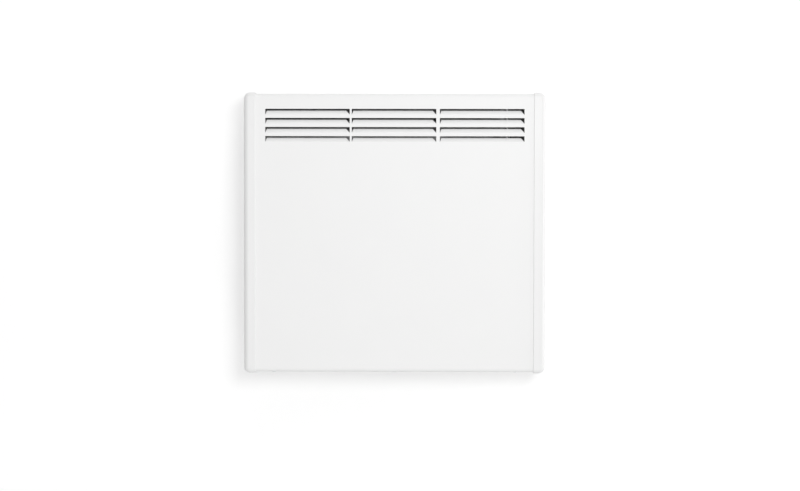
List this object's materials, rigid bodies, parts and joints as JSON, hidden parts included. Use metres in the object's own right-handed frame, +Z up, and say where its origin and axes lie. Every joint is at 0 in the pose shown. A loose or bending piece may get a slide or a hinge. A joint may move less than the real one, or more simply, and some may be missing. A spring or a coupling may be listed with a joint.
{
  "type": "wall panel convector heater",
  "caption": "Slim white wall panel convector heater with lanced air louvres, rounded end caps, side controls and a hook-on wall bracket.",
  "frame": {"origin": "on the wall, in the middle of the wall bracket's four fixing holes", "axes": "+X to the right seen from the room, +Y into the wall, +Z up"},
  "size_m": [0.429, 0.0818, 0.4],
  "materials": {
    "panel_paint": "satin",
    "rear_paint": "satin",
    "cap_plastic": "satin",
    "galvanised_steel": "spangled",
    "grey_silicone": "matte",
    "element_aluminium": "extruded",
    "sheath_steel": "matte",
    "white_ceramic": "matte",
    "black_plastic": "matte",
    "spindle_brass": "turned",
    "dial_plastic": "satin",
    "lens_red": "polished",
    "rocker_plastic": "gloss",
    "block_plastic": "matte",
    "terminal_brass": "plated",
    "gland_plastic": "matte",
    "zinc_steel": "zinc plated",
    "lead_brown": "matte",
    "lead_black": "matte",
    "lead_white": "glass sleeve",
    "lead_blue": "matte",
    "lead_green": "matte",
    "capillary_copper": "drawn",
    "bracket_steel": "zinc plated"
  },
  "bodies": {
    "bracket": {"wall_bracket": "bracket_steel"},
    "heater": {"front_panel": "panel_paint", "rear_panel": "rear_paint", "inlet_grille": "rear_paint", "left_end_cap": "cap_plastic", "right_end_cap": "cap_plastic", "heat_shield": "galvanised_steel", "wiring_partition": "galvanised_steel", "partition_grommet": "grey_silicone", "heating_element": "element_aluminium", "element_sheath": "sheath_steel", "element_pins": "sheath_steel", "ceramic_bushes": "white_ceramic", "element_bracket_left": "galvanised_steel", "element_bracket_right": "galvanised_steel", "thermal_cutout": "black_plastic", "cutout_screws": "zinc_steel", "thermostat_housing": "black_plastic", "control_screws": "zinc_steel", "indicator_lens": "lens_red", "indicator_lamp": "black_plastic", "switch_housing": "black_plastic", "terminal_block": "block_plastic", "terminal_screws": "terminal_brass", "cable_gland": "gland_plastic", "gland_nut": "gland_plastic", "earth_lug": "terminal_brass", "earth_screw": "zinc_steel", "spade_terminals": "terminal_brass", "lead_live": "lead_brown", "lead_switch_thermostat": "lead_black", "lead_thermostat_cutout": "lead_black", "lead_cutout_element": "lead_white", "lead_neutral": "lead_blue", "lead_earth": "lead_green", "lead_clips": "zinc_steel", "sensor_bulb": "capillary_copper", "bulb_clip": "zinc_steel", "capillary_tube": "capillary_copper", "panel_screws": "zinc_steel", "cap_screws": "zinc_steel", "grille_rivets": "zinc_steel"},
    "dial": {"thermostat_dial": "dial_plastic", "thermostat_spindle": "spindle_brass"},
    "rocker": {"switch_rocker": "rocker_plastic"}
  },
  "joints": [
    {"name": "heater_lift", "type": "slide", "parent": "bracket", "child": "heater", "axis": [0, 0, 1], "range_m": [0, 0.012]},
    {"name": "dial_turn", "type": "hinge", "parent": "heater", "child": "dial", "pos_m": [0.2095, -0.05055, 0.134], "axis": [-1, 0, 0], "range_deg": [0, 270]},
    {"name": "rocker_tip", "type": "hinge", "parent": "heater", "child": "rocker", "pos_m": [0.202, -0.05055, 0.086], "axis": [0, -1, 0], "range_deg": [0, 18]}
  ]
}
